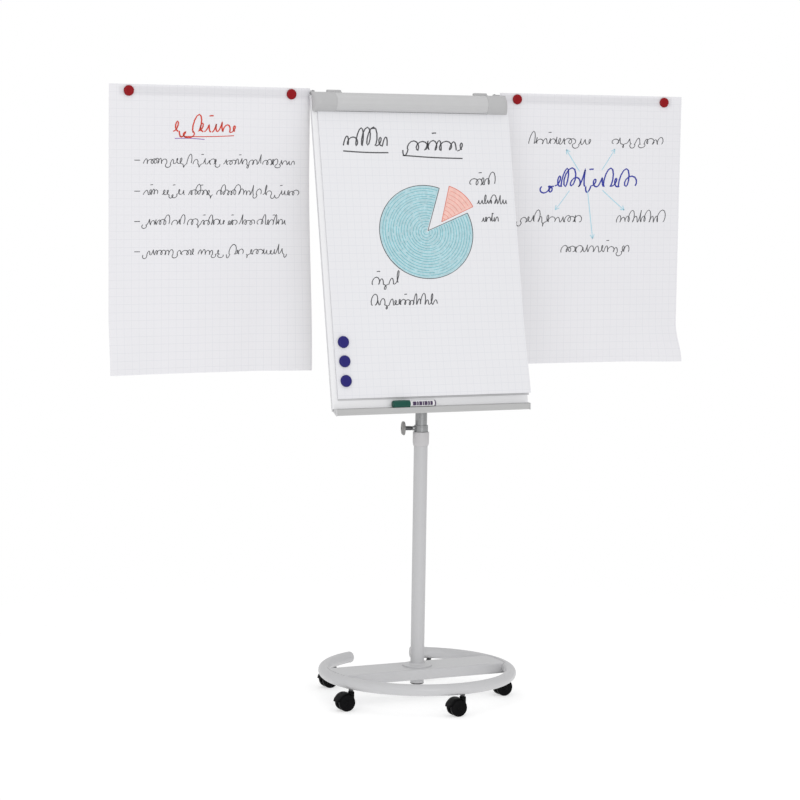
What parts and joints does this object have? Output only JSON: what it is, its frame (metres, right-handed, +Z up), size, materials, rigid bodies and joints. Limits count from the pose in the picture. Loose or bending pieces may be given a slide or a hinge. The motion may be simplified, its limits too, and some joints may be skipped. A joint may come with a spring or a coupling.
{
  "type": "flipchart easel",
  "caption": "Mobile flipchart easel: castor ring base, telescopic mast with clamp knob, tilted magnetic board with pad clamp and pen tray, swing-out side arms with sheets.",
  "frame": {"origin": "on the floor, on the mast's axis, the footprint's centre", "axes": "+X to the viewer's right along the board, +Y to the back, +Z up"},
  "size_m": [2.0384, 0.6207, 1.954],
  "materials": {
    "grey_paint": "satin light-grey powder coat",
    "zinc": "bright drawn tube",
    "steel": "dark zinc-plated steel",
    "grey_plastic": "moulded, fine texture",
    "knob_plastic": "moulded, fine texture",
    "black_plastic": "moulded nylon",
    "aluminium": "satin anodised extrusion",
    "white_lacquer": "glossy white lacquer",
    "core_board": "honeycomb board, grey liner",
    "rubber": "soft black rubber",
    "paper": "uncoated white paper",
    "red_plastic": "glossy red",
    "blue_plastic": "glossy dark blue",
    "white_plastic": "glossy white",
    "teal_plastic": "glossy dark green"
  },
  "bodies": {
    "base": {"base_ring": "grey_paint", "ring_plug_l": "grey_plastic", "ring_plug_r": "grey_plastic", "crossbar": "grey_paint", "mast_flange": "grey_paint", "mast_foot_plug": "black_plastic", "mast_tube": "grey_paint", "mast_collar": "grey_plastic", "mast_bush": "black_plastic", "clamp_ring": "zinc", "castor_stem_1": "steel", "castor_stem_2": "steel", "castor_stem_3": "steel", "castor_stem_4": "steel", "castor_stem_5": "steel"},
    "knob": {"clamp_screw": "steel", "clamp_knob": "knob_plastic"},
    "head": {"inner_tube": "zinc", "inner_glide": "black_plastic", "lower_strap": "grey_paint", "upper_strap": "grey_paint", "board_face": "white_lacquer", "board_core": "core_board", "pad_block": "paper", "top_sheet": "paper", "board_magnet_1": "blue_plastic", "board_magnet_2": "blue_plastic", "board_magnet_3": "blue_plastic", "pen_tray": "aluminium", "tray_cap_l": "grey_plastic", "tray_cap_r": "grey_plastic", "marker_barrel": "white_plastic", "marker_cap": "teal_plastic", "corner_bracket_l": "grey_plastic", "corner_bracket_r": "grey_plastic"},
    "pad_clamp": {"clamp_bar": "aluminium", "grip_strip": "rubber", "bar_cap_l": "grey_plastic", "bar_cap_r": "grey_plastic"},
    "hook_l": {"pad_hook_l": "grey_plastic"},
    "hook_r": {"pad_hook_r": "grey_plastic"},
    "arm_l": {"side_arm_l": "grey_paint", "side_sheet_l": "paper", "arm_magnet_l1": "red_plastic", "arm_magnet_l2": "red_plastic"},
    "arm_r": {"side_arm_r": "grey_paint", "side_sheet_r": "paper", "arm_magnet_r1": "red_plastic", "arm_magnet_r2": "red_plastic"},
    "castor_1": {"castor_hood_1": "black_plastic"},
    "wheels_1": {"castor_wheels_1": "black_plastic"},
    "castor_2": {"castor_hood_2": "black_plastic"},
    "wheels_2": {"castor_wheels_2": "black_plastic"},
    "castor_3": {"castor_hood_3": "black_plastic"},
    "wheels_3": {"castor_wheels_3": "black_plastic"},
    "castor_4": {"castor_hood_4": "black_plastic"},
    "wheels_4": {"castor_wheels_4": "black_plastic"},
    "castor_5": {"castor_hood_5": "black_plastic"},
    "wheels_5": {"castor_wheels_5": "black_plastic"}
  },
  "joints": [
    {"name": "castor_1_swivel", "type": "hinge", "parent": "base", "child": "castor_1", "pos_m": [0.01265, -0.30174, 0.05], "axis": [0, 0, 1], "continuous": true},
    {"name": "castor_1_roll", "type": "hinge", "parent": "castor_1", "child": "wheels_1", "pos_m": [-0.00784, -0.30245, 0.0275], "axis": [0.0349, -0.9994, 0], "continuous": true},
    {"name": "castor_2_swivel", "type": "hinge", "parent": "base", "child": "castor_2", "pos_m": [0.29088, -0.08121, 0.05], "axis": [0, 0, 1], "continuous": true},
    {"name": "castor_2_roll", "type": "hinge", "parent": "castor_2", "child": "wheels_2", "pos_m": [0.27039, -0.08193, 0.0275], "axis": [0.0349, -0.9994, 0], "continuous": true},
    {"name": "castor_3_swivel", "type": "hinge", "parent": "base", "child": "castor_3", "pos_m": [0.16712, 0.25154, 0.05], "axis": [0, 0, 1], "continuous": true},
    {"name": "castor_3_roll", "type": "hinge", "parent": "castor_3", "child": "wheels_3", "pos_m": [0.14664, 0.25083, 0.0275], "axis": [0.0349, -0.9994, 0], "continuous": true},
    {"name": "castor_4_swivel", "type": "hinge", "parent": "base", "child": "castor_4", "pos_m": [-0.18759, 0.23668, 0.05], "axis": [0, 0, 1], "continuous": true},
    {"name": "castor_4_roll", "type": "hinge", "parent": "castor_4", "child": "wheels_4", "pos_m": [-0.20807, 0.23596, 0.0275], "axis": [0.0349, -0.9994, 0], "continuous": true},
    {"name": "castor_5_swivel", "type": "hinge", "parent": "base", "child": "castor_5", "pos_m": [-0.28306, -0.10527, 0.05], "axis": [0, 0, 1], "continuous": true},
    {"name": "castor_5_roll", "type": "hinge", "parent": "castor_5", "child": "wheels_5", "pos_m": [-0.30355, -0.10598, 0.0275], "axis": [0.0349, -0.9994, 0], "continuous": true},
    {"name": "clamp_knob_turn", "type": "hinge", "parent": "base", "child": "knob", "pos_m": [-0.05602, 0.01501, 0.876], "axis": [-0.9659, 0.2588, 0], "range_deg": [0, 270]},
    {"name": "mast_height", "type": "slide", "parent": "base", "child": "head", "axis": [0, 0, 1], "range_m": [-0.2, 0.1]},
    {"name": "pad_clamp_lift", "type": "hinge", "parent": "head", "child": "pad_clamp", "pos_m": [0, 0.13214, 1.93932], "axis": [-1, 0, 0], "range_deg": [0, 60]},
    {"name": "pad_hook_l_slide", "type": "slide", "parent": "head", "child": "hook_l", "axis": [1, 0, 0], "range_m": [0, 0.12]},
    {"name": "pad_hook_r_slide", "type": "slide", "parent": "head", "child": "hook_r", "axis": [-1, 0, 0], "range_m": [0, 0.12]},
    {"name": "arm_l_swing", "type": "hinge", "parent": "head", "child": "arm_l", "pos_m": [-0.325, 0.1565, 1.934], "axis": [0, 0, -1], "range_deg": [0, 110]},
    {"name": "arm_r_swing", "type": "hinge", "parent": "head", "child": "arm_r", "pos_m": [0.325, 0.1565, 1.934], "axis": [0, 0, 1], "range_deg": [0, 110]}
  ]
}
